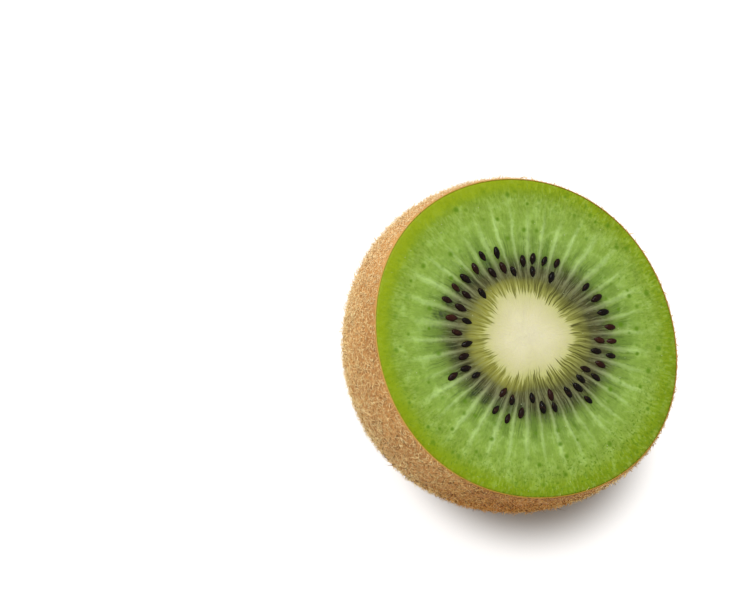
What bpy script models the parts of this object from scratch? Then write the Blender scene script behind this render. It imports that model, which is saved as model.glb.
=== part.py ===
"""Half of a kiwi fruit, cut across its length and standing on its blunt end, with the cut face up.

Metres, +Z up, origin at the middle of the flat spot that it rests on. The fruit is one solid: a turned
body, slightly oval and uneven, with the seeds of the cut face fused to it.
"""

import math
import random

import bmesh
import bpy
from mathutils import Matrix, Vector

MM = 0.001

# The body is a half ellipsoid that was cut a little past its widest section.
WAIST_RADIUS = 26.65 * MM
WAIST_DEPTH = 6.7 * MM
POLE_DEPTH = 36.0 * MM
FOOT_RADIUS = 5.6 * MM
HALF_LENGTH = POLE_DEPTH - WAIST_DEPTH
HEIGHT = WAIST_DEPTH + HALF_LENGTH * math.sqrt(1.0 - (FOOT_RADIUS / WAIST_RADIUS) ** 2)
RIM_ROUND = 0.4 * MM
FOOT_ROUND_ANGLE = math.radians(4.0)
SIDE_ROWS = 30
TURN_STEPS = 84

# How far the outline of the cut departs from a circle: waves round it, height in metres, phase in degrees.
OUTLINE_WAVES = ((2, 0.36 * MM, 165.0), (3, 0.14 * MM, 166.0), (4, 0.19 * MM, -133.0))
LUMP_HEIGHT = 0.16 * MM

# The seed chambers stand like spokes, and their spacing is a little uneven, in degrees.
CHAMBERS = 39
FIRST_RAY = 8.8
RAY_WAVES = ((1, 1.25, -136.0), (2, 0.9, -5.0), (3, 1.1, -54.0))

# One sign a chamber, counterclockwise from +X: how many steps out its seed lies, or a dash for no seed.
OUTER_ROW = "66554--4332-6755674---7---452-01--5-336"
INNER_ROW = "6------3-3-355-266363564--23-1-1-3433-5"
OUTER_ROW_START = 11.3 * MM
INNER_ROW_START = 9.2 * MM
ROW_STEP = 0.5 * MM
SEED_LENGTH = 1.95 * MM
SEED_WIDTH = 1.15 * MM
SEED_THICKNESS = 0.85 * MM
SEED_SINK = 0.08 * MM
SEED_SIDES = 6
SEED_RINGS = 4
SEED_DRAW = 7

# The rings that the flat cut is divided by, as shares of its radius.
FACE_RINGS = (0.86, 0.66, 0.42, 0.2)

SKIN_COLOUR = (0.42, 0.24, 0.11, 1.0)
FLESH_COLOUR = (0.27, 0.39, 0.07, 1.0)
SEED_COLOUR = (0.035, 0.014, 0.01, 1.0)


def clear_scene():
    for old in list(bpy.data.objects):
        bpy.data.objects.remove(old, do_unlink=True)


def wave_sum(waves, angle):
    """The sum of sine waves round the fruit, each given as count, height and phase in degrees."""
    return sum(height * math.sin(count * angle + math.radians(phase)) for count, height, phase in waves)


def ray_angle(index):
    """The angle of the pale ray on the clockwise side of a seed chamber."""
    even = 2.0 * math.pi * index / CHAMBERS
    return even + math.radians(FIRST_RAY + wave_sum(RAY_WAVES, even))


def side_point(turn):
    """Radius and height on the side of the body, by the angle of its ellipse, 0 at the widest section."""
    return WAIST_RADIUS * math.cos(turn), HEIGHT - WAIST_DEPTH - HALF_LENGTH * math.sin(turn)


def half_profile():
    """Radius and height, from the middle of the foot up the side and over the rim to the middle of the cut."""
    foot = math.acos(FOOT_RADIUS / WAIST_RADIUS)
    rim = -math.asin((WAIST_DEPTH - RIM_ROUND) / HALF_LENGTH)
    points = [(0.0, 0.0), (FOOT_RADIUS, 0.0)]
    first = foot - FOOT_ROUND_ANGLE
    for row in range(SIDE_ROWS):
        points.append(side_point(first + (rim - first) * row / (SIDE_ROWS - 1)))
    edge = points[-1][0]
    points.append((edge - 0.3 * RIM_ROUND, HEIGHT - 0.3 * RIM_ROUND))
    points.append((edge - RIM_ROUND, HEIGHT))
    points.extend((edge * share, HEIGHT) for share in FACE_RINGS)
    points.append((0.0, HEIGHT))
    return points


def uneven(point):
    """A point of the round body moved to the slightly oval, slightly lumpy shape of the fruit."""
    radius = math.hypot(point.x, point.y)
    if radius < FOOT_RADIUS * 1.01:
        return point
    angle = math.atan2(point.y, point.x)
    share = (radius - FOOT_RADIUS) / (WAIST_RADIUS - FOOT_RADIUS)
    level = point.z / HEIGHT
    lump = math.sin(3.0 * angle + 5.0 * level) * math.sin(7.0 * level)
    lump += math.sin(5.0 * angle - 7.0 * level + 1.0) * math.sin(4.0 * level)
    change = wave_sum(OUTLINE_WAVES, angle) + LUMP_HEIGHT * lump * (1.0 - level)
    grown = radius + share * change
    return Vector((point.x * grown / radius, point.y * grown / radius, point.z))


def centre_over_foot(bm):
    """Shifts the body so that the middle of its outline is on the Z axis."""
    across = [vert.co.x for vert in bm.verts]
    along = [vert.co.y for vert in bm.verts]
    middle = Vector((min(across) + max(across), min(along) + max(along), 0.0)) / 2.0
    bmesh.ops.translate(bm, verts=bm.verts, vec=-middle)


def make_body():
    mesh = bpy.data.meshes.new("kiwi_half")
    body = bpy.data.objects.new("kiwi_half", mesh)
    bpy.context.scene.collection.objects.link(body)
    bm = bmesh.new()
    line = [bm.verts.new((radius, 0.0, height)) for radius, height in half_profile()]
    edges = [bm.edges.new(pair) for pair in zip(line, line[1:])]
    bmesh.ops.spin(
        bm,
        geom=line + edges,
        cent=(0, 0, 0),
        axis=(0, 0, 1),
        angle=2.0 * math.pi,
        steps=TURN_STEPS,
        use_merge=True,
    )
    bmesh.ops.remove_doubles(bm, verts=bm.verts, dist=0.001 * MM)
    for vert in bm.verts:
        vert.co = uneven(vert.co)
    centre_over_foot(bm)
    bmesh.ops.recalc_face_normals(bm, faces=bm.faces)
    bm.to_mesh(mesh)
    bm.free()
    return body


def seed_places():
    """Angle and radius of each seed, chamber by chamber."""
    places = []
    for index in range(CHAMBERS):
        middle = 0.5 * (ray_angle(index - 1) + ray_angle(index))
        for row, start in ((OUTER_ROW, OUTER_ROW_START), (INNER_ROW, INNER_ROW_START)):
            if row[index] != "-":
                places.append((middle, start + ROW_STEP * int(row[index])))
    return places


def make_seeds(collection):
    draw = random.Random(SEED_DRAW)
    for number, (angle, radius) in enumerate(seed_places()):
        angle += math.radians(draw.uniform(-0.8, 0.8))
        size = draw.uniform(0.9, 1.14)
        lean = draw.uniform(-0.22, 0.22)
        tilt = draw.uniform(-0.12, 0.12)
        mesh = bpy.data.meshes.new("seed")
        seed = bpy.data.objects.new(f"seed_{number:02d}", mesh)
        collection.objects.link(seed)
        place = (
            Matrix.Translation((radius * math.cos(angle), radius * math.sin(angle), HEIGHT - SEED_SINK))
            @ Matrix.Rotation(angle + lean, 4, "Z")
            @ Matrix.Rotation(0.5 * math.pi + tilt, 4, "Y")
            @ Matrix.Diagonal((SEED_THICKNESS * size, SEED_WIDTH * size, SEED_LENGTH * size, 1.0))
        )
        bm = bmesh.new()
        bmesh.ops.create_uvsphere(bm, u_segments=SEED_SIDES, v_segments=SEED_RINGS, radius=0.5, matrix=place)
        bm.to_mesh(mesh)
        bm.free()


def fuse(body, collection):
    """Joins the seeds to the body in one union, and then removes them."""
    union = body.modifiers.new("seeds", "BOOLEAN")
    union.operation = "UNION"
    union.operand_type = "COLLECTION"
    union.collection = collection
    union.solver = "EXACT"
    graph = bpy.context.evaluated_depsgraph_get()
    joined = bpy.data.meshes.new_from_object(body.evaluated_get(graph))
    body.modifiers.remove(union)
    body.data = joined
    joined.name = "kiwi_half"
    for seed in list(collection.objects):
        bpy.data.objects.remove(seed, do_unlink=True)
    bpy.data.collections.remove(collection)


def material(name, colour, roughness):
    made = bpy.data.materials.new(name)
    made.use_nodes = True
    shader = made.node_tree.nodes["Principled BSDF"]
    shader.inputs["Base Color"].default_value = colour
    shader.inputs["Roughness"].default_value = roughness
    shader.inputs["Metallic"].default_value = 0.0
    made.diffuse_color = colour
    return made


def finish(body):
    """Skin on the side, flesh on the cut and dark seeds where they stand above it."""
    mesh = body.data
    mesh.materials.clear()
    mesh.materials.append(material("kiwi_skin", SKIN_COLOUR, 0.85))
    mesh.materials.append(material("kiwi_flesh", FLESH_COLOUR, 0.35))
    mesh.materials.append(material("kiwi_seed", SEED_COLOUR, 0.3))
    for face in mesh.polygons:
        if face.center.z > HEIGHT + 0.01 * MM:
            face.material_index = 2
        elif face.center.z > HEIGHT - 0.01 * MM:
            face.material_index = 1
        else:
            face.material_index = 0
    mesh.shade_smooth()
    mesh.set_sharp_from_angle(angle=math.radians(40.0))


def main():
    clear_scene()
    body = make_body()
    seeds = bpy.data.collections.new("seeds")
    bpy.context.scene.collection.children.link(seeds)
    make_seeds(seeds)
    fuse(body, seeds)
    finish(body)


main()
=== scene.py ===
"""The looks of a kiwi fruit half: juicy cut flesh with rays and seeds, brown skin and its coat of fuzz."""

import math
import random

import bmesh
import bpy
import numpy as np
from bpy.props import FloatProperty, FloatVectorProperty, IntProperty, PointerProperty
from mathutils import Matrix, Vector


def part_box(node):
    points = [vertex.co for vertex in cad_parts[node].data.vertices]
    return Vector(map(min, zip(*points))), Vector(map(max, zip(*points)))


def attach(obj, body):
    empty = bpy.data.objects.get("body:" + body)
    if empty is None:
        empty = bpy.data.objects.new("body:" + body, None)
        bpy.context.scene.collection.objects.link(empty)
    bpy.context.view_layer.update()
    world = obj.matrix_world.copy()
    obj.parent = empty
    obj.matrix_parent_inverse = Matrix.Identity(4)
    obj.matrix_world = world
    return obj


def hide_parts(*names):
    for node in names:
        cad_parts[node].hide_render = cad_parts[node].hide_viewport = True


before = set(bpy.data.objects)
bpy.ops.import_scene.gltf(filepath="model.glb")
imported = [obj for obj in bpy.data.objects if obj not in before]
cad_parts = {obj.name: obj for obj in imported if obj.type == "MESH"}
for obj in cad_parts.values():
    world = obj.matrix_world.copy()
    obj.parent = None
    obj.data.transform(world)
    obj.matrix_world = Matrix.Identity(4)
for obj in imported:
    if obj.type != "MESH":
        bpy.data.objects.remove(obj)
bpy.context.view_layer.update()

bl_info = {
    "name": "Kiwi Half",
    "version": (1, 0, 0),
    "blender": (4, 5, 0),
    "location": "View3D > Sidebar > Kiwi",
    "description": "Builds the flesh, seeds, skin and fuzz of a halved kiwi fruit",
    "category": "Add Mesh",
}

MM = 0.001
NODE = "kiwi_half"
FOOT_LEVEL = float(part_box(NODE)[0][2])

# The form of the fruit, which the frame's solid has too.
WAIST_RADIUS = 26.65 * MM
WAIST_DEPTH = 6.7 * MM
POLE_DEPTH = 36.0 * MM
FOOT_RADIUS = 5.6 * MM
HALF_LENGTH = POLE_DEPTH - WAIST_DEPTH
HEIGHT = WAIST_DEPTH + HALF_LENGTH * math.sqrt(1.0 - (FOOT_RADIUS / WAIST_RADIUS) ** 2)
OUTLINE_WAVES = ((2, 0.36 * MM, 165.0), (3, 0.14 * MM, 166.0), (4, 0.19 * MM, -133.0))
LUMP_HEIGHT = 0.16 * MM
RIM_TURN = -math.asin(WAIST_DEPTH / HALF_LENGTH)
FOOT_TURN = math.acos(FOOT_RADIUS / WAIST_RADIUS)

# The seed chambers, with the pale rays between them, in degrees.
CHAMBERS = 39
FIRST_RAY = 8.8
RAY_WAVES = ((1, 1.25, -136.0), (2, 0.9, -5.0), (3, 1.1, -54.0))

# One sign a chamber, counterclockwise from +X: how many steps out its seed lies, or a dash for no seed.
OUTER_ROW = "66554--4332-6755674---7---452-01--5-336"
INNER_ROW = "6------3-3-355-266363564--23-1-1-3433-5"
OUTER_ROW_START = 11.3 * MM
INNER_ROW_START = 9.2 * MM
ROW_STEP = 0.5 * MM
SEED_LENGTH = 1.95 * MM
SEED_WIDTH = 0.98 * MM
SEED_THICKNESS = 0.85 * MM
SEED_SINK = 0.08 * MM
SEED_DRAW = 7
SEED_SHADE_DRAW = 23

# The pale core is off the middle, and its edge has lobes: waves round it, height in mm, phase in degrees.
CORE_RADIUS = 7.44
CORE_WAVES = ((1, 0.5, -28.0), (2, 0.41, 86.0), (3, 0.34, 115.0), (6, 0.25, 30.0))
RING_STRETCH = 0.9

# The relief of the soft flesh in mm: the core and the rays stand out, and the ring of seeds is sunk.
CORE_RISE = 0.06
CORE_SLOPE = 2.0
RAY_RISE = 0.07
RAY_HALF_WIDTH = 0.45
RAY_START = 8.5
RAY_END = 22.0
SEED_RING_SINK = 0.12
SEED_RING_RADIUS = 12.3
SEED_RING_WIDTH = 2.6
RIPPLES = 14
RIPPLE_LENGTHS = (0.9, 3.2)
RIPPLE_HEIGHT = 0.0022
RIPPLE_DRAW = 11

# The woody scar of the stem in the foot: radius and height in mm, from its middle out and round.
SCAR_OUTLINE = (
    (0.0, 0.24),
    (0.7, 0.32),
    (1.2, 0.26),
    (1.7, 0.14),
    (2.1, 0.13),
    (2.5, 0.24),
    (2.6, 0.45),
    (2.4, 0.7),
    (0.0, 0.72),
)
SCAR_STEPS = 144

# The skin: its hollow in the foot by radius and height in mm, its cut edge by how far in and up from the
# corner in mm, and the highest and lowest places of its inner side.
SKIN_THICKNESS = 0.18 * MM
LEATHER_HEIGHT = 0.03 * MM
FOOT_HOLLOW = ((0.0, 0.55), (2.9, 0.5), (3.3, 0.12), (3.7, 0.0))
CUT_EDGE = ((0.0, -0.12), (0.03, -0.02), (0.09, 0.01), (0.16, -0.03))
INNER_TOP = HEIGHT - 0.5 * MM
INNER_LOW = 0.95 * MM
INNER_BOTTOM = 0.85 * MM

# The flesh starts this far inside the skin's outer face and above the floor, and its rim is rounded: places
# by how far in and up in mm.
FLESH_INSET = 0.7 * SKIN_THICKNESS
FLESH_BOTTOM = 0.9 * MM
FLESH_RIM = ((0.0, -0.25), (0.08, -0.08))
FLESH_RIM_WIDTH = 0.25 * MM

# How finely the bodies are turned: steps round, rows up the side, and rings on the cut.
SECTORS = 6
FLESH_STEPS = 702
FLESH_ROWS = 24
FLESH_RINGS = 96
SKIN_STEPS = 360
SKIN_ROWS = 100
MERGE_DISTANCE = 0.0005 * MM

# The UV map for textures, and where the hidden faces lie in its corner.
BAKE_UV = "OFBake"
CORNER_MIDDLE = 0.065
CORNER_REACH = 0.06

# Hairs start a little inside the skin, stay off the floor, and are shorter above this depth under the cut.
ROOT_SINK = 0.08 * MM
FLOOR_GAP = 0.03 * MM
CALM_DEPTH = 7.0 * MM
COAT_TOP = RIM_TURN + 0.003

# Kinds of hair: length as a share of the coat's, lift off the skin in radians, curl, rings of points, droop.
SHORT_HAIR = {"length": (0.55, 1.1), "lift": (0.1, 1.15), "curl": 0.5, "rings": 2, "droop": 0.25}
LONG_HAIR = {"length": (0.8, 1.6), "lift": (0.15, 1.45), "curl": 0.7, "rings": 3, "droop": 0.45}

# Steps that spread the hairs evenly: how much of a turn, and of the way down, from each hair to the next.
SPREAD_ROUND = 0.7548776662466927
SPREAD_DOWN = 0.5698402909980532

# How bright the stage's lights make a white surface.
LIGHT_LEVEL = 1.03


def linear(red, green, blue):
    """The surface colour in linear light that shows as these 0 to 255 screen values on the stage."""
    colour = []
    for value in (red, green, blue):
        level = value / 255.0
        level = level / 12.92 if level <= 0.04045 else ((level + 0.055) / 1.055) ** 2.4
        colour.append(level / LIGHT_LEVEL)
    return tuple(colour)


def wave_sum(waves, angle):
    """The sum of sine waves round the fruit, each given as count, height and phase in degrees."""
    return sum(height * np.sin(count * angle + math.radians(phase)) for count, height, phase in waves)


def ray_angle(index):
    """The angle of the pale ray on the counterclockwise side of a seed chamber."""
    even = math.tau * index / CHAMBERS
    return even + math.radians(FIRST_RAY + float(wave_sum(RAY_WAVES, even)))


def chamber_turn(angle):
    """Where an angle lies among the rays: a whole number on each ray."""
    even = angle - math.radians(FIRST_RAY)
    even = even - np.radians(wave_sum(RAY_WAVES, even))
    return even * CHAMBERS / math.tau


def side_radius(turn):
    """The round body's radius, by the angle down its side from the waist."""
    return WAIST_RADIUS * np.cos(turn)


def side_height(turn):
    """The height at the same place."""
    return HEIGHT - WAIST_DEPTH - HALF_LENGTH * np.sin(turn)


def side_points(angle, turn):
    """Points of the round body's side."""
    radius = side_radius(turn)
    return np.stack([radius * np.cos(angle), radius * np.sin(angle), side_height(turn)], axis=-1)


def polar(points):
    """The distance from the Z axis and the angle round it."""
    return np.hypot(points[:, 0], points[:, 1]), np.arctan2(points[:, 1], points[:, 0])


def uneven(points):
    """Points of the round body moved to the slightly oval, slightly lumpy shape of the fruit."""
    radius, angle = polar(points)
    share = np.clip((radius - FOOT_RADIUS) / (WAIST_RADIUS - FOOT_RADIUS), 0.0, None)
    level = points[:, 2] / HEIGHT
    lump = np.sin(3.0 * angle + 5.0 * level) * np.sin(7.0 * level)
    lump += np.sin(5.0 * angle - 7.0 * level + 1.0) * np.sin(4.0 * level)
    change = share * (wave_sum(OUTLINE_WAVES, angle) + LUMP_HEIGHT * lump * (1.0 - level))
    factor = 1.0 + change / np.maximum(radius, MM)
    moved = points.copy()
    moved[:, :2] *= factor[:, None]
    return moved


def outline_middle():
    """How far the uneven outline's middle is off the axis."""
    angle, turn = np.meshgrid(np.linspace(0.0, math.tau, 721), np.linspace(RIM_TURN, FOOT_TURN, 90))
    moved = uneven(side_points(angle, turn).reshape(-1, 3))
    return np.append((moved[:, :2].min(axis=0) + moved[:, :2].max(axis=0)) / 2.0, 0.0)


OUTLINE_MIDDLE = outline_middle()


def shaped(points):
    """Points of the round body as they are on the fruit in the frame."""
    return uneven(points) - OUTLINE_MIDDLE


def read_vectors(items, name):
    """A vector of each of a mesh's points or faces, such as its place."""
    values = np.empty(len(items) * 3)
    items.foreach_get(name, values)
    return values.reshape(-1, 3)


def write_points(mesh, points):
    mesh.vertices.foreach_set("co", np.ascontiguousarray(points).ravel())
    mesh.update()


def turned(name, profile, steps):
    """A closed body turned round the Z axis from a line of (radius, height) points, sector by sector."""
    mesh = bpy.data.meshes.new(name)
    sector = bpy.data.meshes.new("sector")
    sweep = math.tau / SECTORS
    bm = bmesh.new()
    line = [bm.verts.new((radius, 0.0, height)) for radius, height in profile]
    edges = [bm.edges.new(pair) for pair in zip(line, line[1:])]
    bmesh.ops.spin(bm, geom=line + edges, cent=(0, 0, 0), axis=(0, 0, 1), angle=sweep, steps=steps // SECTORS)
    bm.to_mesh(sector)
    bm.clear()
    for _ in range(SECTORS):
        bm.from_mesh(sector)
        sector.transform(Matrix.Rotation(sweep, 4, "Z"))
    bpy.data.meshes.remove(sector)
    bmesh.ops.remove_doubles(bm, verts=bm.verts, dist=MERGE_DISTANCE)
    bmesh.ops.recalc_face_normals(bm, faces=bm.faces)
    bm.to_mesh(mesh)
    bm.free()
    return mesh


def add_object(name, data):
    made = bpy.data.objects.new(name, data)
    bpy.context.scene.collection.objects.link(made)
    return made


def finished(name, mesh, material, replaces=True):
    """A smooth object at the origin that rides on the fruit's body."""
    mesh.shade_smooth()
    mesh.materials.append(material)
    piece = add_object(name, mesh)
    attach(piece, "root")
    if replaces:
        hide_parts(NODE)
    return piece


def loop_points(mesh):
    """The point and the face of each loop."""
    corners = np.empty(len(mesh.loops), np.int32)
    mesh.loops.foreach_get("vertex_index", corners)
    totals = np.empty(len(mesh.polygons), np.int32)
    mesh.polygons.foreach_get("loop_total", totals)
    return corners, np.repeat(np.arange(len(totals)), totals)


def write_uv(mesh, places):
    layer = mesh.uv_layers.new(name=BAKE_UV)
    layer.data.foreach_set("uv", np.ascontiguousarray(places, np.float32).ravel())


def put(socket, value):
    if isinstance(value, bpy.types.NodeSocket):
        socket.id_data.links.new(value, socket)
    else:
        socket.default_value = value


def fill(node, **values):
    """Fills a node's inputs by name, such as Roughness or Base_Color."""
    for name, value in values.items():
        put(node.inputs[name.replace("_", " ")], value)
    return node


def node(kind, *values, **settings):
    """A node in the tree of the first socket given, with settings, and its first inputs filled in order."""
    tree = next(value.id_data for value in values if isinstance(value, bpy.types.NodeSocket))
    made = tree.nodes.new("ShaderNode" + kind)
    for name, value in settings.items():
        setattr(made, name, value)
    for socket, value in zip(made.inputs, values):
        put(socket, value)
    return made


def calc(operation, *values):
    return node("Math", *values, operation=operation).outputs[0]


def total(first, *others):
    for other in others:
        first = calc("ADD", first, other)
    return first


def product(first, *others):
    for other in others:
        first = calc("MULTIPLY", first, other)
    return first


def vector(operation, *values):
    made = node("VectorMath", *values, operation=operation)
    return made.outputs["Value" if operation == "LENGTH" else "Vector"]


def scaled(value, factor):
    return fill(node("VectorMath", value, operation="SCALE"), Scale=factor).outputs["Vector"]


def apart(value):
    return node("SeparateXYZ", value).outputs


def together(*values):
    return node("CombineXYZ", *values).outputs[0]


def ease(value, low, high, to_low=0.0, to_high=1.0):
    """Goes smoothly from to_low to to_high while the value goes from low to high."""
    numbers = (value, low, high, to_low, to_high)
    return node("MapRange", *numbers, interpolation_type="SMOOTHSTEP").outputs[0]


def band(value, rise, full, fade, gone):
    """1 from full to fade, 0 below rise and above gone."""
    return product(ease(value, rise, full), ease(value, fade, gone, 1.0, 0.0))


def noise(place, scale, detail=3.0, roughness=0.55, output=0):
    return fill(node("TexNoise", place), Scale=scale, Detail=detail, Roughness=roughness).outputs[output]


def cells(place, scale):
    """Distance to the nearest point of a loose grid, and that point's own colour."""
    outputs = fill(node("TexVoronoi", place), Scale=scale).outputs
    return outputs["Distance"], outputs["Color"]


def walls(place):
    """Distance to the nearest wall between the cells of a loose grid."""
    return fill(node("TexVoronoi", place, feature="DISTANCE_TO_EDGE"), Scale=1.0).outputs["Distance"]


def chance(value, seed):
    """A fixed random number from 0 to 1 for each whole value."""
    return node("TexWhiteNoise", together(value, seed, 0.0), noise_dimensions="2D").outputs["Value"]


def mix(share, low, high, kind="MIX"):
    made = node("Mix", share, data_type="RGBA", blend_type=kind)
    for name, value in (("A_Color", low), ("B_Color", high)):
        socket = next(s for s in made.inputs if s.identifier == name)
        put(socket, (*value, 1.0) if isinstance(value, tuple) else value)
    return next(s for s in made.outputs if s.identifier == "Result_Color")


def over(colour, screen_colour, *shares, kind="MIX"):
    """The colour with a screen colour over it, by the product of the shares."""
    return mix(product(*shares), colour, linear(*screen_colour), kind)


def between(share, first, second):
    """A mix of two screen colours."""
    return mix(share, linear(*first), linear(*second))


def ramp(value, stops):
    """A colour that follows the value, by (value, screen colour) stops below FACE_REACH."""
    made = node("ValToRGB", calc("DIVIDE", value, FACE_REACH))
    elements = made.color_ramp.elements
    while len(elements) < len(stops):
        elements.new(0.5)
    for element, (position, colour) in zip(elements, stops):
        element.position = position / FACE_REACH
        element.color = (*linear(*colour), 1.0)
    return made.outputs[0]


class Paint:
    """One material with its shader, and the place on the piece in mm."""

    def __init__(self, name):
        self.material = bpy.data.materials.new(name)
        self.material.use_nodes = True
        self.nodes = self.material.node_tree.nodes
        self.shader = self.nodes["Principled BSDF"]
        self.place = scaled(self.nodes.new("ShaderNodeTexCoord").outputs["Object"], 1.0 / MM)

    def attribute(self, name):
        made = self.nodes.new("ShaderNodeAttribute")
        made.attribute_name = name
        return made.outputs["Fac"]

    def bump(self, height, distance, strength):
        made = fill(self.nodes.new("ShaderNodeBump"), Height=height, Distance=distance, Strength=strength)
        put(self.shader.inputs["Normal"], made.outputs[0])

    def set(self, **values):
        """Fills the shader's inputs by name."""
        fill(self.shader, **values)
        return self.material


# Colours by the distance from the middle in mm: of the core, between the rays and on them.
CORE_STOPS = (
    (0.0, (235, 229, 190)),
    (1.5, (231, 225, 185)),
    (3.0, (228, 222, 179)),
    (5.0, (217, 212, 162)),
    (6.3, (207, 204, 145)),
    (7.2, (200, 200, 130)),
    (8.5, (188, 188, 112)),
)
CHAMBER_STOPS = (
    (7.0, (152, 153, 76)),
    (8.0, (137, 139, 66)),
    (9.0, (113, 114, 53)),
    (10.0, (82, 82, 43)),
    (11.0, (86, 84, 48)),
    (12.2, (79, 82, 44)),
    (13.4, (98, 113, 50)),
    (14.2, (114, 136, 58)),
    (15.0, (125, 152, 65)),
    (16.4, (132, 161, 68)),
    (18.0, (139, 170, 71)),
    (20.0, (140, 170, 67)),
    (22.0, (138, 166, 62)),
    (23.0, (136, 163, 50)),
    (23.8, (134, 160, 32)),
    (24.6, (134, 158, 14)),
    (25.4, (134, 154, 6)),
    (26.0, (142, 148, 8)),
)
RAY_STOPS = (
    (7.0, (196, 195, 122)),
    (8.0, (172, 173, 96)),
    (9.0, (141, 143, 77)),
    (10.0, (119, 121, 73)),
    (11.5, (132, 135, 96)),
    (13.0, (144, 155, 106)),
    (14.5, (158, 180, 112)),
    (16.0, (168, 196, 116)),
    (18.5, (174, 203, 120)),
    (20.5, (168, 196, 108)),
    (23.0, (148, 175, 66)),
)
FACE_REACH = 27.0

# Other colours of the cut, as screen values.
YELLOW_RING = (152, 151, 64)
DARK_LINE = (70, 68, 28)
GREEN_THREAD = (58, 88, 30)
GREY_THREAD = (142, 148, 108)
DARK_THREAD = (46, 50, 28)
WEDGE = (90, 124, 36)
DEEP_SEED = (36, 50, 28)
BRIGHT_RIM = (152, 172, 24)
DEEP_RIM = (118, 147, 22)
VEIN = (176, 202, 120)
HAZE = (164, 192, 106)
PALE_FLECK = (170, 198, 104)
GREEN_FLECK = (96, 132, 18)
DOT = (92, 132, 12)
SPECK = (94, 130, 16)
# The colour of the painted highlights on wet cells.
GLINT = (206, 216, 160)

# Directions on the cut: where the rim is a plain band, and where it is brighter than on the opposite side.
PLAIN_SIDE = (-0.966, 0.259)
BRIGHT_SIDE = (-0.766, 0.643)

# How far slow noise moves the points of the pattern, in mm, so that no line is quite straight.
SWAY = 1.1
SWAY_SCALE = 0.22
# Juice cells: how many round the fruit's middle in a radian, and in a mm along the rays.
CELLS_ROUND = 13.0
CELLS_ALONG = 0.36


def waves(table, angle):
    parts = []
    for count, height, phase in table:
        turned_angle = calc("MULTIPLY_ADD", angle, float(count), math.radians(phase))
        parts.append(product(calc("SINE", turned_angle), height))
    return total(*parts)


class FleshPattern:
    """Where a point of the cut lies, in mm, and the textures that several marks share."""

    def __init__(self, place):
        self.place = place
        drift = vector("SUBTRACT", noise(place, SWAY_SCALE, 2.0, output=1), (0.5, 0.5, 0.5))
        x, y, _ = apart(vector("ADD", place, scaled(drift, SWAY)))
        self.radius = vector("LENGTH", together(x, y, 0.0))
        angle = calc("ARCTAN2", y, x)
        # The chamber, the nearest ray and the distance from it: whole turn numbers are on the rays.
        even = calc("SUBTRACT", angle, math.radians(FIRST_RAY))
        even = calc("SUBTRACT", even, product(waves(RAY_WAVES, even), math.pi / 180.0))
        self.turn = product(even, CHAMBERS / math.tau)
        self.index = calc("FLOORED_MODULO", calc("FLOOR", self.turn), float(CHAMBERS))
        self.ray_index = calc("FLOORED_MODULO", calc("ROUND", self.turn), float(CHAMBERS))
        self.across = calc("PINGPONG", self.turn, 0.5)
        self.ray_distance = product(self.across, math.tau / CHAMBERS, self.radius)
        # The direction from the middle is a vector, so no texture has a seam where the angle starts again.
        self.heading = vector("NORMALIZE", together(x, y, 0.0))
        self.side, self.upward, _ = apart(self.heading)
        self.plain = product(ease(self.towards(PLAIN_SIDE), -0.1, 0.45), ease(self.radius, 22.8, 24.2))
        # The level is the radius, made even for the uneven core and for the oval ring of seeds.
        near_core = ease(self.radius, 8.2, 11.0, 1.0, 0.0)
        near_ring = band(self.radius, 8.0, 11.0, 16.5, 21.0)
        ring_shift = product(calc("COSINE", product(angle, 2.0)), RING_STRETCH)
        shift = total(product(waves(CORE_WAVES, angle), near_core), product(ring_shift, near_ring))
        self.level = calc("SUBTRACT", self.radius, shift)
        self.fine = ease(self.streaks(40.0, 6.0, 3.0), 0.33, 0.67)
        self.broad = ease(self.streaks(11.0, 4.5, 11.0), 0.33, 0.67)
        self.thread = ease(self.streaks(58.0, 3.5, 37.0), 0.35, 0.65)
        self.fleck = ease(self.streaks(66.0, 0.9, 53.0), 0.3, 0.7)
        self.cloud = ease(noise(place, 0.45, 4.0, 0.62), 0.3, 0.7)
        self.grain = ease(noise(place, 1.9, 3.0, 0.6), 0.3, 0.7)

    def towards(self, direction):
        """How much the heading goes in a direction: 1 towards it, -1 away from it."""
        return total(product(self.side, direction[0]), product(self.upward, direction[1]))

    def veins(self):
        """Distance to the nearest wall of cells drawn out along the rays."""
        x, y, _ = apart(scaled(self.heading, CELLS_ROUND))
        return walls(together(x, y, product(self.radius, CELLS_ALONG)))

    def streaks(self, fineness, length, seed):
        """Noise drawn out along the rays, from 0 to 1."""
        x, y, _ = apart(scaled(self.heading, fineness))
        return noise(together(x, y, calc("MULTIPLY_ADD", self.radius, 1.0 / length, seed)), 1.0, 2.0)


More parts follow.
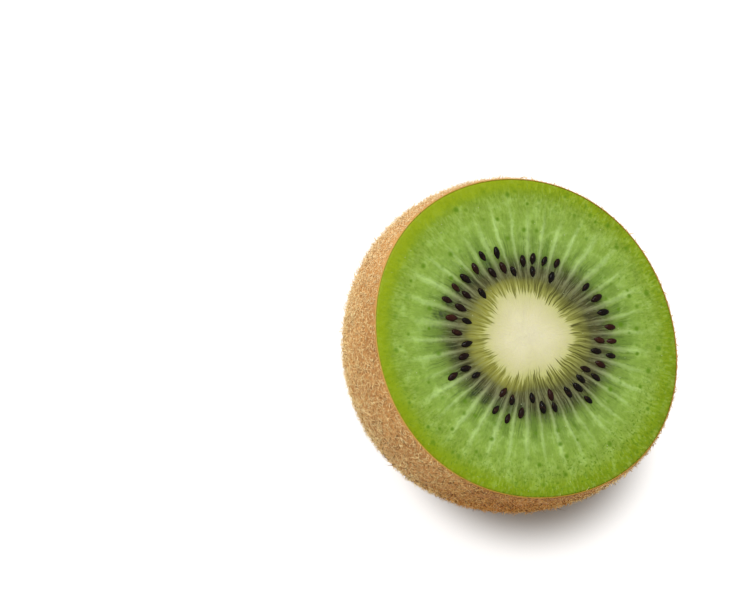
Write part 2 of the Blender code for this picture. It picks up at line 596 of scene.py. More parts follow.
def lines_by_core(face, colour, on_ray):
    """Paints the ring next to the core. Gives the colour, and how much of each point is core."""
    # Twice as many uneven lines as rays run from the core to the seeds, and the core's edge follows them.
    bent = calc("MULTIPLY_ADD", face.broad, 0.3, face.turn)
    lines = calc("COSINE", product(bent, 4.0 * math.pi))
    teeth = total(product(lines, 0.3), product(face.fine, 0.8), product(face.broad, 0.9), -0.85)
    # The teeth are deeper at the lower side.
    teeth = product(teeth, ease(face.upward, -0.4, -0.9, 1.0, 1.5))
    teeth = total(teeth, ease(face.upward, -0.5, -0.95, 0.0, 0.45))
    core_level = calc("SUBTRACT", face.level, teeth)
    core = ease(core_level, 6.6, 7.5, 1.0, 0.0)

    # The ring is yellower on the left, and its dark lines are stronger on the right.
    ring = band(face.level, 7.0, 8.0, 8.8, 11.0)
    colour = over(colour, YELLOW_RING, ease(face.side, 0.35, -0.75), ring, 0.75)
    line = total(product(lines, 0.28), product(face.fine, 0.6), product(face.thread, 0.3))
    by_core = band(core_level, 6.6, 7.4, 9.0, 11.4)
    colour = mix(product(ease(line, 0.4, 0.85), by_core, 0.9), colour, on_ray)
    colour = over(colour, DARK_LINE, ease(line, 0.4, 0.0), by_core, ease(face.side, -0.7, 0.5, 0.35, 0.8))
    return colour, core


def marks_between_rays(face, colour):
    """Paints the threads, the darker green wedges and the seeds under the surface."""
    past_seeds = band(face.level, 11.0, 13.0, 15.0, 19.0)
    colour = over(colour, GREEN_THREAD, ease(face.thread, 0.55, 1.0), past_seeds, 0.5)
    wedge = product(ease(face.across, 0.12, 0.42), band(face.level, 12.5, 14.0, 15.5, 20.5))
    colour = over(colour, WEDGE, wedge, ease(chance(face.index, 31.0), 0.0, 1.0, 0.0, 0.55))

    # The dark haze of seeds under the surface, chamber by chamber.
    deep_middle = calc("MULTIPLY_ADD", chance(face.index, 21.0), 2.0, 12.4)
    away = calc("ABSOLUTE", calc("SUBTRACT", face.level, deep_middle))
    deep = product(ease(away, 0.3, 2.0, 1.0, 0.0), ease(face.across, 0.08, 0.4))
    strength = ease(chance(face.index, 5.0), 0.15, 0.9, 0.15, 1.0)
    by_side = ease(face.side, 0.5, -0.6, 0.4, 1.0)
    speckle = ease(noise(face.place, 1.7, 3.0, 0.6), 0.35, 0.6, 0.35, 1.0)
    colour = over(colour, DEEP_SEED, deep, strength, by_side, speckle, 0.85)
    among = product(band(face.level, 9.3, 10.3, 12.8, 15.2), speckle)
    colour = over(colour, GREY_THREAD, ease(face.thread, 0.6, 0.9), among, 0.45)
    return over(colour, DARK_THREAD, ease(face.thread, 0.4, 0.1), among, 0.6)


def pale_rays(face, colour, on_ray):
    """Paints the pale rays, soft at their sides, some shorter and fainter than others."""
    luck = chance(face.ray_index, 3.0)
    past_end = calc("SUBTRACT", face.radius, calc("MULTIPLY_ADD", luck, 4.0, 19.8))
    reach = product(ease(face.radius, 8.5, 10.5), ease(past_end, -4.5, 1.5, 1.0, 0.0))
    width = calc("MULTIPLY_ADD", chance(face.ray_index, 9.0), 0.28, 0.4)
    width = product(width, ease(face.radius, 11.0, 16.0, 0.8, 1.15), ease(face.grain, 0.0, 1.0, 0.8, 1.2))
    ray = ease(calc("DIVIDE", face.ray_distance, width), 0.0, 1.0, 1.0, 0.0)
    patchy = ease(total(face.broad, face.cloud), 0.4, 1.4, 0.75, 1.0)
    return mix(product(ray, reach, patchy, calc("MULTIPLY_ADD", luck, 0.3, 0.7)), colour, on_ray)


def uneven_rim(face, colour):
    """Paints the rim, brighter on one side, a deeper green on the opposite one, uneven at its inner edge."""
    uneven_radius = total(face.radius, product(face.cloud, 1.2), product(face.grain, 0.6), -0.9)
    rim = ease(uneven_radius, 23.3, 25.1)
    bright = face.towards(BRIGHT_SIDE)
    colour = over(colour, BRIGHT_RIM, ease(bright, 0.0, 1.0), rim, 0.7)
    return over(colour, DEEP_RIM, ease(bright, 0.0, -1.0), rim, 0.6)


def juice_cells(face, colour):
    """Paints the veins between the juice cells, paler clouds, fibres and a slightly uneven light."""
    outside = product(ease(face.level, 13.0, 17.5), calc("MULTIPLY_ADD", face.plain, -0.75, 1.0))
    vein = product(ease(face.veins(), 0.0, 0.16, 1.0, 0.0), outside, ease(face.cloud, 0.3, 0.9))
    colour = over(colour, VEIN, vein, ease(face.radius, 22.0, 25.0, 1.0, 0.5), 0.24)
    haze = product(ease(face.cloud, 0.5, 1.0), outside)
    colour = over(colour, HAZE, haze, ease(face.radius, 21.5, 24.0, 1.0, 0.15), 0.2)
    flecks = product(outside, ease(face.radius, 17.0, 24.0, 0.3, 1.0))
    colour = over(colour, PALE_FLECK, ease(face.fleck, 0.6, 1.0), flecks, 0.26)
    colour = over(colour, GREEN_FLECK, ease(face.fleck, 0.4, 0.0), flecks, 0.42)
    light = total(product(face.cloud, 0.18), product(face.grain, 0.09), product(face.fine, 0.04), 0.85)
    return scaled(colour, total(product(outside, calc("SUBTRACT", light, 1.0)), 1.0))


def dots_and_specks(face, colour):
    """Paints green dots on the outer flesh and dark specks near the rim, more of them right and below."""
    distance, cell_colour = cells(face.place, 0.56)
    luck, size, _ = apart(cell_colour)
    dot = ease(calc("DIVIDE", distance, calc("MULTIPLY_ADD", size, 0.14, 0.17)), 0.3, 1.3, 1.0, 0.0)
    colour = over(colour, DOT, dot, ease(luck, 0.25, 0.45), band(face.radius, 14.0, 16.0, 23.5, 25.2), 0.9)
    by_side = total(ease(face.side, -0.5, 0.5, 0.15, 0.5), ease(face.upward, 0.0, -0.7, 0.0, 0.4))
    speck = ease(noise(face.place, 2.7, 3.0, 0.6), 0.55, 0.65)
    return over(colour, SPECK, speck, ease(face.radius, 17.5, 22.5), by_side)


def flesh_material(look):
    """The cut flesh, painted from the core out. Numbers set against a radius or a level are in mm."""
    paint = Paint("kiwi_flesh")
    face = FleshPattern(paint.place)
    on_ray = ramp(face.level, RAY_STOPS)
    colour, core = lines_by_core(face, ramp(face.level, CHAMBER_STOPS), on_ray)
    colour = marks_between_rays(face, colour)
    colour = pale_rays(face, colour, on_ray)
    colour = uneven_rim(face, colour)
    colour = juice_cells(face, colour)
    colour = dots_and_specks(face, colour)
    colour = mix(core, colour, ramp(face.level, CORE_STOPS))
    # Painted highlights: pale glint specks in the base colour, also raised in the bump and smoother.
    distance, cell_colour = cells(face.place, 0.95)
    glint = product(ease(distance, 0.045, 0.11, 1.0, 0.0), ease(apart(cell_colour)[0], 0.68, 0.72))
    glint = product(glint, band(face.radius, 8.0, 10.0, 24.0, 25.5))
    height = total(product(face.grain, 0.22), product(face.fine, 0.16), product(face.cloud, 0.2))
    paint.bump(total(height, product(glint, 0.5)), 0.2 * MM, 0.6)
    wet = ease(noise(face.place, 0.9, 2.0), 0.3, 0.7, 0.3, 0.5)
    return paint.set(
        Base_Color=over(colour, GLINT, glint, 0.65),
        Roughness=calc("SUBTRACT", wet, product(glint, 0.2)),
        Specular_IOR_Level=0.1,
        Subsurface_Weight=look.glow,
        Subsurface_Radius=(0.9, 1.0, 0.4),
        Subsurface_Scale=0.6 * MM,
    )


def seed_material():
    """Nearly black shiny seeds, some of them red-brown."""
    paint = Paint("kiwi_seed")
    colour = between(paint.attribute("tone"), (12, 8, 5), (54, 22, 12))
    patch = ease(noise(paint.place, 2.2, 2.0), 0.5, 0.8, 0.0, 0.5)
    paint.bump(noise(paint.place, 3.5, 2.0), 0.1 * MM, 0.8)
    return paint.set(Base_Color=over(colour, (74, 46, 26), patch), Roughness=0.11, Specular_IOR_Level=0.1)


def painted_side_light(across):
    """Painted light and shade: how much paler the skin and hairs are by Y in mm, most on the lit +Y side."""
    return total(ease(across, -26.0, -19.0, 0.0, 0.42), ease(across, -2.0, 16.0, 0.0, 0.5))


def skin_material():
    """Brown felt under the hairs, with darker pits, painted paler on the lit side, and a pale cut edge."""
    paint = Paint("kiwi_skin")
    place = paint.place
    patches = ease(noise(place, 0.16, 4.0, 0.6), 0.35, 0.68)
    grain = noise(place, 1.6, 4.0, 0.65)
    colour = between(patches, (160, 108, 56), (198, 144, 82))
    colour = over(colour, (112, 70, 34), ease(grain, 0.42, 0.7, 0.0, 0.65))
    bent = vector("ADD", place, scaled(noise(place, 1.1, 2.0, output=1), 0.7))
    distance, cell_colour = cells(bent, 1.0)
    pit = product(ease(distance, 0.08, 0.38, 1.0, 0.0), ease(apart(cell_colour)[0], 0.2, 0.5))
    colour = over(colour, (92, 56, 30), pit, 0.75)
    _, across, level = apart(place)
    # Painted light: paler towards the lit +Y side, least at the shaded bottom.
    colour = over(colour, (222, 168, 100), painted_side_light(across), 0.65)
    edge = product(ease(level, HEIGHT / MM - 0.16, HEIGHT / MM - 0.03), ease(grain, 0.3, 0.6, 0.4, 1.0))
    to_right = ease(apart(vector("NORMALIZE", place))[0], -0.7, 0.2)
    colour = mix(edge, colour, between(to_right, (206, 166, 74), (182, 142, 44)))
    paint.bump(calc("SUBTRACT", product(grain, 0.7), product(pit, 0.8)), 0.25 * MM, 0.8)
    return paint.set(Base_Color=colour, Roughness=0.8, Specular_IOR_Level=0.2)


def fuzz_material(name):
    """Light tan hairs, darker and warmer at the root, each with its own tone, and painted light and shade."""
    paint = Paint(name)
    tone = paint.attribute("tone")
    root = between(tone, (205, 150, 75), (250, 198, 112))
    end = between(tone, (254, 210, 122), (255, 253, 196))
    colour = mix(ease(paint.attribute("tip"), 0.0, 0.7), root, end)
    colour = over(colour, (206, 142, 74), ease(noise(paint.place, 0.25, 3.0, 0.6), 0.4, 0.72), 0.3)
    # Painted light and shade: paler towards the lit +Y side and browner at the shaded bottom.
    across = apart(paint.place)[1]
    colour = over(colour, (255, 228, 176), painted_side_light(across))
    colour = over(colour, (228, 186, 132), ease(across, -21.5, -27.5), 0.9, kind="MULTIPLY")
    # Dark hairs, more of them lower down: partly their own colour, partly painted shade between tufts.
    colour = over(colour, (104, 64, 34), ease(tone, 0.14, 0.09), ease(across, -6.0, -20.0, 0.2, 0.85))
    return paint.set(Base_Color=colour, Roughness=0.65, Specular_IOR_Level=0.12)


def relief(radius, angle, level_noise):
    """How far the soft flesh stands above the plane of the cut, in mm, by the distance out in mm."""
    turn = chamber_turn(angle)
    across = np.abs(turn - np.round(turn))
    ray = np.clip(1.0 - across * math.tau / CHAMBERS * radius / RAY_HALF_WIDTH, 0.0, 1.0)
    ray *= np.clip((radius - RAY_START) / 1.5, 0.0, 1.0) * np.clip((RAY_END - radius) / 4.0, 0.0, 1.0)
    core_edge = CORE_RADIUS + wave_sum(CORE_WAVES, angle)
    core = np.clip((core_edge + 0.8 - radius) / CORE_SLOPE, 0.0, 1.0)
    core = core * core * (3.0 - 2.0 * core)
    sunk = np.exp(-(((radius - SEED_RING_RADIUS) / SEED_RING_WIDTH) ** 2)) * (1.0 - ray)
    return CORE_RISE * core + RAY_RISE * ray - SEED_RING_SINK * sunk + level_noise


def ripples(points):
    """Small soft unevenness of the wet flesh, in mm, from crossing waves."""
    draw = random.Random(RIPPLE_DRAW)
    height = np.zeros(len(points))
    for _ in range(RIPPLES):
        length = draw.uniform(*RIPPLE_LENGTHS) * MM
        heading = draw.uniform(0.0, math.tau)
        phase = draw.uniform(0.0, math.tau)
        along = points[:, 0] * math.cos(heading) + points[:, 1] * math.sin(heading)
        height += length / MM * np.sin(math.tau * along / length + phase)
    return RIPPLE_HEIGHT * height


def flesh_profile():
    """The flesh inside the skin, from the middle of the foot up to the rim and in over the cut."""
    points = [(0.0, FLESH_BOTTOM), (FOOT_RADIUS - FLESH_INSET, FLESH_BOTTOM)]
    for turn in np.linspace(FOOT_TURN, RIM_TURN, FLESH_ROWS)[1:-1]:
        points.append((float(side_radius(turn)) - FLESH_INSET, float(side_height(turn))))
    edge = float(side_radius(RIM_TURN)) - FLESH_INSET
    points += [(edge - inward * MM, HEIGHT + up * MM) for inward, up in FLESH_RIM]
    for ring in range(FLESH_RINGS):
        points.append(((edge - FLESH_RIM_WIDTH) * (1.0 - ring / FLESH_RINGS), HEIGHT))
    points.append((0.0, HEIGHT))
    return points


def flesh_mesh():
    mesh = turned("flesh", flesh_profile(), FLESH_STEPS)
    round_points = read_vectors(mesh.vertices, "co")
    on_cut = round_points[:, 2] > HEIGHT - 0.01 * MM
    points = shaped(round_points)
    radius, angle = polar(points)
    rise = relief(radius / MM, angle, ripples(points)) * MM
    # The relief ends over the last mm before the rim.
    radius, _ = polar(round_points)
    rim = np.clip((radius.max() - radius) / MM, 0.0, 1.0)
    points[:, 2] += np.where(on_cut, rise * rim, 0.0)
    write_points(mesh, points)
    lay_out_disc(mesh, points)
    return mesh


def lay_out(mesh, on_show, shown, spots, reach):
    """Gives the loops on show their places in the UV square, and the others small ones in its corner."""
    hidden = CORNER_MIDDLE + CORNER_REACH * spots[:, :2] / reach
    write_uv(mesh, np.where(on_show[:, None], shown, hidden))


def lay_out_disc(mesh, points):
    """Lays the cut flat in the middle of the UV square, and the rest of the flesh in the corner."""
    corners, faces = loop_points(mesh)
    reach = WAIST_RADIUS * 1.02
    spots = points[corners]
    on_show = (read_vectors(mesh.polygons, "center")[:, 2] > HEIGHT - 0.6 * MM)[faces]
    lay_out(mesh, on_show, 0.5 + 0.5 * spots[:, :2] / reach, spots, reach)


def skin_profile():
    """The skin as a thin shell: up the outside, over the cut edge and down the inside."""
    turns = np.linspace(FOOT_TURN, RIM_TURN, SKIN_ROWS)
    points = [(radius * MM, height * MM) for radius, height in FOOT_HOLLOW]
    points.append((FOOT_RADIUS, 0.0))
    for turn in turns[1:-1]:
        points.append((float(side_radius(turn)), float(side_height(turn))))
    edge = float(side_radius(RIM_TURN))
    points += [(edge - inward * MM, HEIGHT + up * MM) for inward, up in CUT_EDGE]
    for turn in turns[::-4][1:-1]:
        height = min(float(side_height(turn)), INNER_TOP)
        points.append((float(side_radius(turn)) - SKIN_THICKNESS, max(height, INNER_LOW)))
    points.append((FOOT_RADIUS - SKIN_THICKNESS, INNER_BOTTOM))
    points.append((0.0, INNER_BOTTOM))
    return points


def skin_mesh():
    mesh = turned("skin", skin_profile(), SKIN_STEPS)
    round_points = read_vectors(mesh.vertices, "co")
    points = shaped(round_points)
    radius, angle = polar(round_points)
    height = round_points[:, 2]
    # Small leathery lumps on the outside, none on the foot or at the cut edge.
    lumps = np.sin(37.0 * angle + 900.0 * height) * np.sin(1300.0 * height - 11.0 * angle)
    lumps += np.sin(61.0 * angle - 1500.0 * height + 2.0) * np.sin(700.0 * height + 23.0 * angle)
    calm = np.clip(height / (3.0 * MM), 0.0, 1.0) * np.clip((HEIGHT - height) / (1.5 * MM), 0.0, 1.0)
    points[:, :2] *= (1.0 + LEATHER_HEIGHT * lumps * calm / np.maximum(radius, MM))[:, None]
    write_points(mesh, points)
    lay_out_bowl(mesh, round_points)
    return mesh


def lay_out_bowl(mesh, round_points):
    """Spreads the outer skin as a disc round its pole in the UV square, and its inner side in the corner."""
    corners, faces = loop_points(mesh)
    centres = read_vectors(mesh.polygons, "center")
    outward = (centres * read_vectors(mesh.polygons, "normal"))[:, :2].sum(axis=1)
    on_show = ((outward > 0.0) | (centres[:, 2] < 0.7 * MM))[faces]
    spots = round_points[corners]
    radius, angle = polar(spots)
    rise = np.clip(np.arccos(np.clip(1.0 - spots[:, 2] / HEIGHT, -1.0, 1.0)) / (0.5 * math.pi), 0.0, 1.0)
    out = 0.4 * rise + 0.09 * np.minimum(radius / FOOT_RADIUS, 1.0)
    shown = 0.5 + np.stack([out * np.cos(angle), out * np.sin(angle)], axis=1)
    lay_out(mesh, on_show, shown, spots, WAIST_RADIUS)


def scar_mesh():
    """The woody button in the hollow of the foot, where the stem sat, with an uneven ridge round it."""
    profile = []
    for (radius, height), (next_radius, next_height) in zip(SCAR_OUTLINE, SCAR_OUTLINE[1:]):
        for share in (0.0, 0.25, 0.5, 0.75):
            spot = (radius + share * (next_radius - radius), height + share * (next_height - height))
            profile.append((spot[0] * MM, spot[1] * MM))
    profile.append((0.0, SCAR_OUTLINE[-1][1] * MM))
    mesh = turned("scar", profile, SCAR_STEPS)
    points = read_vectors(mesh.vertices, "co")
    radius, angle = polar(points)
    radius /= MM
    share = np.clip(radius / 2.0, 0.0, 1.0)
    wave = np.sin(5.0 * angle + 1.0) + 0.7 * np.sin(8.0 * angle - 2.0) + 0.4 * np.sin(19.0 * angle)
    points[:, :2] *= (1.0 + 0.035 * share * wave)[:, None]
    ridges = np.sin(13.0 * angle + 3.0 * radius) + 0.8 * np.sin(31.0 * angle - 5.0 * radius)
    low = points[:, 2] < 0.5 * MM
    points[:, 2] += np.where(low, 0.03 * MM * share * ridges, 0.0)
    write_points(mesh, points)
    return mesh


def scar_material():
    """Dry dark wood, paler on its ridges."""
    paint = Paint("kiwi_scar")
    grain = noise(paint.place, 2.6, 4.0, 0.65)
    colour = between(ease(grain, 0.35, 0.65), (62, 42, 26), (138, 104, 66))
    height = apart(paint.place)[2]
    colour = over(colour, (48, 32, 20), ease(height, 0.12, 0.45, 0.0, 0.7))
    paint.bump(grain, 0.2 * MM, 0.9)
    return paint.set(Base_Color=colour, Roughness=0.85, Specular_IOR_Level=0.2)


def seed_places():
    """Angle and radius of each seed, chamber by chamber."""
    places = []
    for index in range(CHAMBERS):
        middle = 0.5 * (ray_angle(index - 1) + ray_angle(index))
        for row, start in ((OUTER_ROW, OUTER_ROW_START), (INNER_ROW, INNER_ROW_START)):
            if row[index] != "-":
                places.append((middle, start + ROW_STEP * int(row[index])))
    return places


def seeds_mesh():
    """The seeds, as drops with a rounder outer end."""
    draw = random.Random(SEED_DRAW)
    shade = random.Random(SEED_SHADE_DRAW)
    mesh = bpy.data.meshes.new("seeds")
    joined = bmesh.new()
    for angle, radius in seed_places():
        angle += math.radians(draw.uniform(-0.8, 0.8))
        size = draw.uniform(0.9, 1.14)
        lean = draw.uniform(-0.22, 0.22)
        tilt = draw.uniform(-0.12, 0.12)
        place = (
            Matrix.Translation((radius * math.cos(angle), radius * math.sin(angle), HEIGHT - SEED_SINK))
            @ Matrix.Rotation(angle + lean, 4, "Z")
            @ Matrix.Rotation(0.5 * math.pi + tilt, 4, "Y")
            @ Matrix.Diagonal((SEED_THICKNESS * size, SEED_WIDTH * size, SEED_LENGTH * size, 1.0))
        )
        seed = bmesh.new()
        tone = seed.verts.layers.float.new("tone")
        bmesh.ops.create_uvsphere(seed, u_segments=18, v_segments=12, radius=0.5)
        red = shade.random() ** 3
        for vert in seed.verts:
            narrow = 1.0 - 1.5 * max(0.0, -vert.co.z) ** 1.7
            vert.co.x *= narrow
            vert.co.y *= narrow
            vert[tone] = red
        bmesh.ops.transform(seed, matrix=place, verts=seed.verts)
        seed.to_mesh(mesh)
        seed.free()
        joined.from_mesh(mesh)
    joined.to_mesh(mesh)
    joined.free()
    return mesh


def surface(angle, turn):
    """Points of the outer skin and the directions out, down and round there."""
    out_x = np.cos(turn) * np.cos(angle) * HALF_LENGTH
    out_y = np.cos(turn) * np.sin(angle) * HALF_LENGTH
    out = np.stack([out_x, out_y, -np.sin(turn) * WAIST_RADIUS], axis=1)
    out /= np.linalg.norm(out, axis=1)[:, None]
    around = np.stack([-np.sin(angle), np.cos(angle), np.zeros_like(angle)], axis=1)
    down = np.cross(around, out)
    down *= -np.sign(down[:, 2:3])
    return shaped(side_points(angle, turn)), out, down, around


def even_places(count, low, high, seed):
    """Angles and side turns spread evenly over the skin between two side turns."""
    numbers = np.arange(count) + seed
    angle = math.tau * ((numbers * SPREAD_ROUND) % 1.0)
    table = np.linspace(low, high, 400)
    middle = (table[1:] + table[:-1]) / 2.0
    step = np.hypot(WAIST_RADIUS * np.sin(middle), HALF_LENGTH * np.cos(middle))
    area = np.concatenate([[0.0], np.cumsum(np.cos(middle) * step)])
    share = (numbers * SPREAD_DOWN) % 1.0
    return angle, np.interp(share, area / area[-1], table)


def hairs_mesh(name, count, belt, seed, look, length, lift, curl, rings, droop):
    """Closed three-sided hairs, each curving from its root, as one mesh over a belt of the side."""
    draw = np.random.default_rng(seed)
    angle, turn = even_places(count, belt[0], belt[1], seed)
    roots, out, down, around = surface(angle, turn)
    heading = draw.uniform(0.0, math.tau, count)
    long = draw.uniform(length[0], length[1], count) * draw.uniform(0.7, 1.0, count) * look.length
    depth = HEIGHT - roots[:, 2]
    # The coat is shorter by the cut, and no hair there leans in over the flesh.
    long *= 0.7 + 0.3 * np.clip(depth / CALM_DEPTH, 0.0, 1.0)
    by_cut = depth < 0.8 * long
    along = np.where(by_cut, np.abs(np.cos(heading)), np.cos(heading))
    out[by_cut, 2] = np.minimum(out[by_cut, 2], 0.0)
    out /= np.linalg.norm(out, axis=1)[:, None]
    flat = along[:, None] * down + np.sin(heading)[:, None] * around
    rise = (lift[0] + (lift[1] - lift[0]) * draw.random(count) ** 2)[:, None]
    start = np.cos(rise) * flat + np.sin(rise) * out
    bend = draw.normal(0.0, curl, (count, 1)) * np.cross(out, flat) - droop * out
    long = long[:, None]
    thick = draw.uniform(0.65, 1.1, count)[:, None] * look.thickness * 0.5
    side_a = np.cross(start, out)
    side_a /= np.linalg.norm(side_a, axis=1)[:, None]
    side_b = np.cross(start, side_a)
    sunk = roots - ROOT_SINK * out
    rows = []
    tips = []
    for ring in range(rings):
        share = ring / rings
        middle = sunk + long * (share * start + share * share * bend)
        wide = thick * (1.0 - 0.4 * share)
        for corner in range(3):
            turn = math.tau * corner / 3.0
            rows.append(middle + wide * (math.cos(turn) * side_a + math.sin(turn) * side_b))
            tips.append(share)
    rows.append(sunk + long * (start + bend))
    tips.append(1.0)
    points = np.stack(rows, axis=1)
    points[:, :, 2] = np.maximum(points[:, :, 2], FLOOR_GAP)
    per_hair = points.shape[1]
    faces = [(0, 2, 1)]
    for ring in range(rings - 1):
        for corner in range(3):
            a, b = 3 * ring + corner, 3 * ring + (corner + 1) % 3
            faces += [(a, b, b + 3), (a, b + 3, a + 3)]
    last = 3 * (rings - 1)
    faces += [(last + corner, last + (corner + 1) % 3, per_hair - 1) for corner in range(3)]
    faces = (np.array(faces)[None] + per_hair * np.arange(count)[:, None, None]).reshape(-1, 3)
    mesh = bpy.data.meshes.new(name)
    mesh.from_pydata(points.reshape(-1, 3), [], faces)
    add_floats(mesh, "tip", np.tile(np.array(tips), count))
    add_floats(mesh, "tone", np.repeat(draw.random(count), per_hair))
    lay_out_hairs(mesh, count, per_hair, np.array(tips), roots)
    return mesh


def add_floats(mesh, name, values):
    layer = mesh.attributes.new(name, "FLOAT", "POINT")
    layer.data.foreach_set("value", values.astype(np.float32))


def lay_out_hairs(mesh, count, per_hair, tips, roots):
    """Gives each hair a small cell of its own in the UV square, neighbours side by side."""
    columns = math.ceil(math.sqrt(count))
    column = np.empty(count, int)
    column[np.argsort(polar(roots)[1], kind="stable")] = np.arange(count) // columns
    row = np.empty(count, int)
    by_column = np.lexsort((roots[:, 2], column))
    row[by_column] = np.arange(count) % columns
    corner_share = np.array([(index % 3) / 2.0 for index in range(per_hair)])
    cell_u = (column[:, None] + 0.1 + 0.8 * corner_share[None]) / columns
    cell_v = (row[:, None] + 0.1 + 0.8 * tips[None]) / columns
    places = np.stack([cell_u.ravel(), cell_v.ravel()], axis=1)
    corners, _ = loop_points(mesh)
    write_uv(mesh, places[corners])


class KiwiFleshSettings(bpy.types.PropertyGroup):
    glow: FloatProperty(
        name="Glow",
        description="Share of the light that goes through the flesh",
        default=0.25,
        min=0.0,
        max=1.0,
        subtype="FACTOR",
    )


class KiwiFuzzSettings(bpy.types.PropertyGroup):
    coat: IntProperty(name="Coat hairs", description="Short hairs in each of three belts", default=19900)
    strays: IntProperty(name="Long hairs", description="Number of long hairs", default=12000)
    length: FloatProperty(
        name="Coat length",
        description="Length of the longest short hair",
        default=1.5 * MM,
        unit="LENGTH",
        precision=5,
    )
    thickness: FloatProperty(
        name="Thickness",
        description="Thickness of a hair at its root",
        default=0.135 * MM,
        unit="LENGTH",
        precision=6,
    )


class KiwiStageSettings(bpy.types.PropertyGroup):
    # The floor's own dim warm colour shows in the painted shadow; elsewhere its painted glow makes it bright.
    floor_colour: FloatVectorProperty(
        name="Floor",
        description="Colour of the plain floor",
        default=(0.37, 0.335, 0.295),
        subtype="COLOR",
        min=0.0,
        max=1.0,
    )
    floor_glow: FloatProperty(name="Floor glow", description="Light that the floor adds", default=0.86)
    key_power: FloatProperty(name="Key", description="Power of the soft light", default=3.9, unit="POWER")
    spark_power: FloatProperty(name="Spark", description="Power of the glints", default=0.24, unit="POWER")
    sky: FloatProperty(name="Sky", description="Strength of the white surroundings", default=0.65)


class KIWI_OT_flesh(bpy.types.Operator):
    """Make the cut flesh with its core, rays and rim"""

    bl_idname = "kiwi.flesh"
    bl_label = "Flesh"

    def execute(self, context):
        finished("flesh", flesh_mesh(), flesh_material(context.scene.kiwi_flesh))
        return {"FINISHED"}


class KIWI_OT_skin(bpy.types.Operator):
    """Make the thin brown skin round the flesh, and the scar of the stem"""

    bl_idname = "kiwi.skin"
    bl_label = "Skin"

    def execute(self, context):
        finished("skin", skin_mesh(), skin_material())
        finished("scar", scar_mesh(), scar_material(), replaces=False)
        return {"FINISHED"}


class KIWI_OT_seeds(bpy.types.Operator):
    """Make the glossy seeds of the cut"""

    bl_idname = "kiwi.seeds"
    bl_label = "Seeds"

    def execute(self, context):
        finished("seeds", seeds_mesh(), seed_material())
        return {"FINISHED"}


class KIWI_OT_fuzz(bpy.types.Operator):
    """Make the coat of short hairs and the longer hairs over it"""

    bl_idname = "kiwi.fuzz"
    bl_label = "Fuzz"

    def execute(self, context):
        look = context.scene.kiwi_fuzz
        belts = np.linspace(COAT_TOP, FOOT_TURN, 4)
        coat = fuzz_material("kiwi_fuzz")
        for number, name in enumerate(("fuzz_upper", "fuzz_middle", "fuzz_lower")):
            belt = belts[number : number + 2]
            mesh = hairs_mesh(name, look.coat, belt, 100 + number, look, **SHORT_HAIR)
            finished(name, mesh, coat, replaces=False)
        mesh = hairs_mesh("fuzz_long", look.strays, (COAT_TOP, FOOT_TURN), 200, look, **LONG_HAIR)
        finished("fuzz_long", mesh, fuzz_material("kiwi_fuzz_long"), replaces=False)
        return {"FINISHED"}


# The photograph's view: a camera about half a metre from the cut, which leans in the picture.
PICTURE_WIDTH = 745
PICTURE_HEIGHT = 600
CUT_MIDDLE_PIXEL = (529.0, 337.0)
CUT_TILT = math.radians(25.5)
CUT_LEAN = math.radians(25.0)
CAMERA_DISTANCE = 0.492
CAMERA_LENS = 150.0
CAMERA_SENSOR = 36.0


def camera_matrix():
    """Where the camera stands so that the cut has its tilt, its lean and its place in the picture."""
    aside = math.sin(CUT_TILT)
    facing = Vector((aside * math.cos(CUT_LEAN), aside * math.sin(CUT_LEAN), math.cos(CUT_TILT)))
    across = Vector((1.0, 0.0, 0.0))
    across = (across - facing * facing.x).normalized()
    base = Matrix((across, facing.cross(across), facing))
    pixels = CAMERA_LENS / CAMERA_SENSOR * PICTURE_WIDTH
    right = (CUT_MIDDLE_PIXEL[0] - PICTURE_WIDTH / 2.0) / pixels
    up = (PICTURE_HEIGHT / 2.0 - CUT_MIDDLE_PIXEL[1]) / pixels
    aim = Vector((right, up, -1.0)).rotation_difference(Vector((0.0, 0.0, -1.0))).to_matrix()
    place = Vector((0.0, 0.0, HEIGHT)) + base @ Vector((0.0, 0.0, CAMERA_DISTANCE))
    return Matrix.Translation(place) @ (base @ aim).to_4x4()


def add_camera():
    data = bpy.data.cameras.new("camera")
    data.lens = CAMERA_LENS
    data.sensor_width = CAMERA_SENSOR
    data.clip_start = 0.01
    camera = add_object("camera", data)
    camera.matrix_world = camera_matrix()
    bpy.context.scene.camera = camera


def add_light(name, place, size, power):
    """A square soft light that shines at the fruit."""
    data = bpy.data.lights.new(name, "AREA")
    data.shape = "SQUARE"
    data.size = size
    data.energy = power
    light = add_object(name, data)
    light.location = place
    aim = Vector((0.0, 0.0, HEIGHT / 2.0)) - Vector(place)
    light.rotation_euler = aim.to_track_quat("-Z", "Y").to_euler()


# The painted shadow on the floor, where its painted glow is left out: its middle in mm, its shape as factors
# on x and y, and how far from its middle the floor starts to glow and glows in full, in mm.
SHADOW_MIDDLE = (14.0, -9.0, 0.0)
SHADOW_SHAPE = (0.85, 1.0, 0.0)
GLOW_FROM = 13.0
GLOW_FULL = 22.5
FLOOR_RADIUS = 3.0

# The lights: a broad one that gives the soft shading, and a small one for the glints on the seeds.
KEY_PLACE = (-0.44, 0.4, 0.6)
KEY_SIZE = 0.4
SPARK_PLACE = (-0.22, 0.3, 0.75)
SPARK_SIZE = 0.02


def floor_material(look):
    """A dim warm floor with a painted glow, left out beside the foot as a painted shadow over the real one.
    """
    paint = Paint("floor")
    aside = vector("SUBTRACT", paint.place, SHADOW_MIDDLE)
    distance = vector("LENGTH", vector("MULTIPLY", aside, SHADOW_SHAPE))
    return paint.set(
        Base_Color=(*look.floor_colour, 1.0),
        Roughness=0.9,
        Specular_IOR_Level=0.2,
        Emission_Color=(1.0, 1.0, 1.0, 1.0),
        Emission_Strength=ease(distance, GLOW_FROM, GLOW_FULL, 0.0, look.floor_glow),
    )


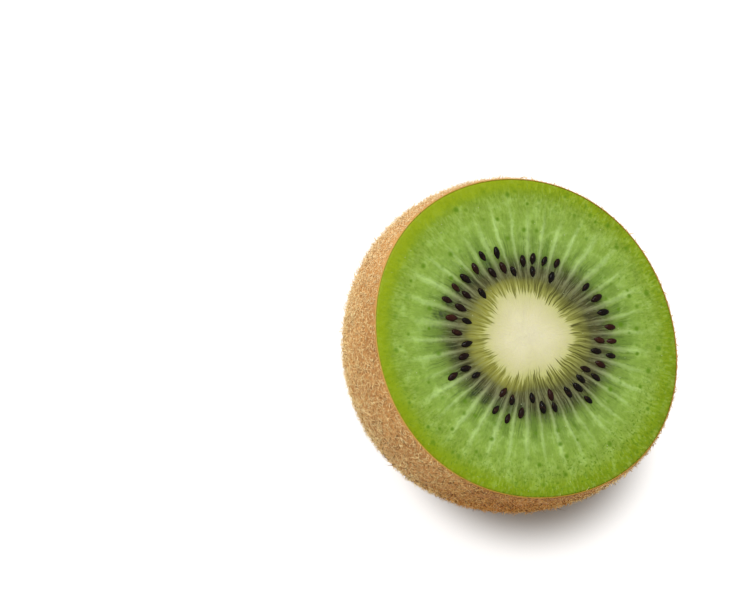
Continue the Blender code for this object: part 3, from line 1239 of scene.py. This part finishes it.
class KIWI_OT_stage(bpy.types.Operator):
    """Make the floor with its painted glow and shadow, the soft lights, the white surroundings and the camera
    """

    bl_idname = "kiwi.stage"
    bl_label = "Stage"

    def execute(self, context):
        look = context.scene.kiwi_stage
        bm = bmesh.new()
        bmesh.ops.create_circle(bm, cap_ends=True, segments=96, radius=FLOOR_RADIUS)
        bmesh.ops.translate(bm, verts=bm.verts, vec=(0.0, 0.0, FOOT_LEVEL))
        mesh = bpy.data.meshes.new("floor")
        bm.to_mesh(mesh)
        bm.free()
        mesh.materials.append(floor_material(look))
        floor = add_object("floor", mesh)
        add_light("key", KEY_PLACE, KEY_SIZE, look.key_power)
        add_light("spark", SPARK_PLACE, SPARK_SIZE, look.spark_power)
        world = bpy.data.worlds.new("surroundings")
        world.use_nodes = True
        background = world.node_tree.nodes["Background"]
        background.inputs["Color"].default_value = (1.0, 1.0, 1.0, 1.0)
        background.inputs["Strength"].default_value = look.sky
        context.scene.world = world
        context.scene.view_settings.view_transform = "Standard"
        add_camera()
        return {"FINISHED"}


class KIWI_PT_panel(bpy.types.Panel):
    """The fruit's settings and the buttons that make its pieces"""

    bl_label = "Kiwi Half"
    bl_idname = "KIWI_PT_panel"
    bl_space_type = "VIEW_3D"
    bl_region_type = "UI"
    bl_category = "Kiwi"

    def draw(self, context):
        scene = context.scene
        for settings in (scene.kiwi_flesh, scene.kiwi_fuzz, scene.kiwi_stage):
            for name in type(settings).__annotations__:
                self.layout.prop(settings, name)
        for operator in OPERATORS:
            self.layout.operator(operator.bl_idname)


SETTINGS = {"kiwi_flesh": KiwiFleshSettings, "kiwi_fuzz": KiwiFuzzSettings, "kiwi_stage": KiwiStageSettings}
OPERATORS = (KIWI_OT_stage, KIWI_OT_flesh, KIWI_OT_seeds, KIWI_OT_skin, KIWI_OT_fuzz)


def register():
    for made in (*SETTINGS.values(), *OPERATORS, KIWI_PT_panel):
        bpy.utils.register_class(made)
    for name, group in SETTINGS.items():
        setattr(bpy.types.Scene, name, PointerProperty(type=group))


def unregister():
    for name in SETTINGS:
        delattr(bpy.types.Scene, name)
    for made in (KIWI_PT_panel, *OPERATORS, *SETTINGS.values()):
        bpy.utils.unregister_class(made)


def main():
    register()
    bpy.ops.kiwi.stage()
    bpy.ops.kiwi.flesh()
    bpy.ops.kiwi.seeds()
    bpy.ops.kiwi.skin()
    bpy.ops.kiwi.fuzz()
    bpy.context.view_layer.update()


if __name__ == "__main__":
    main()
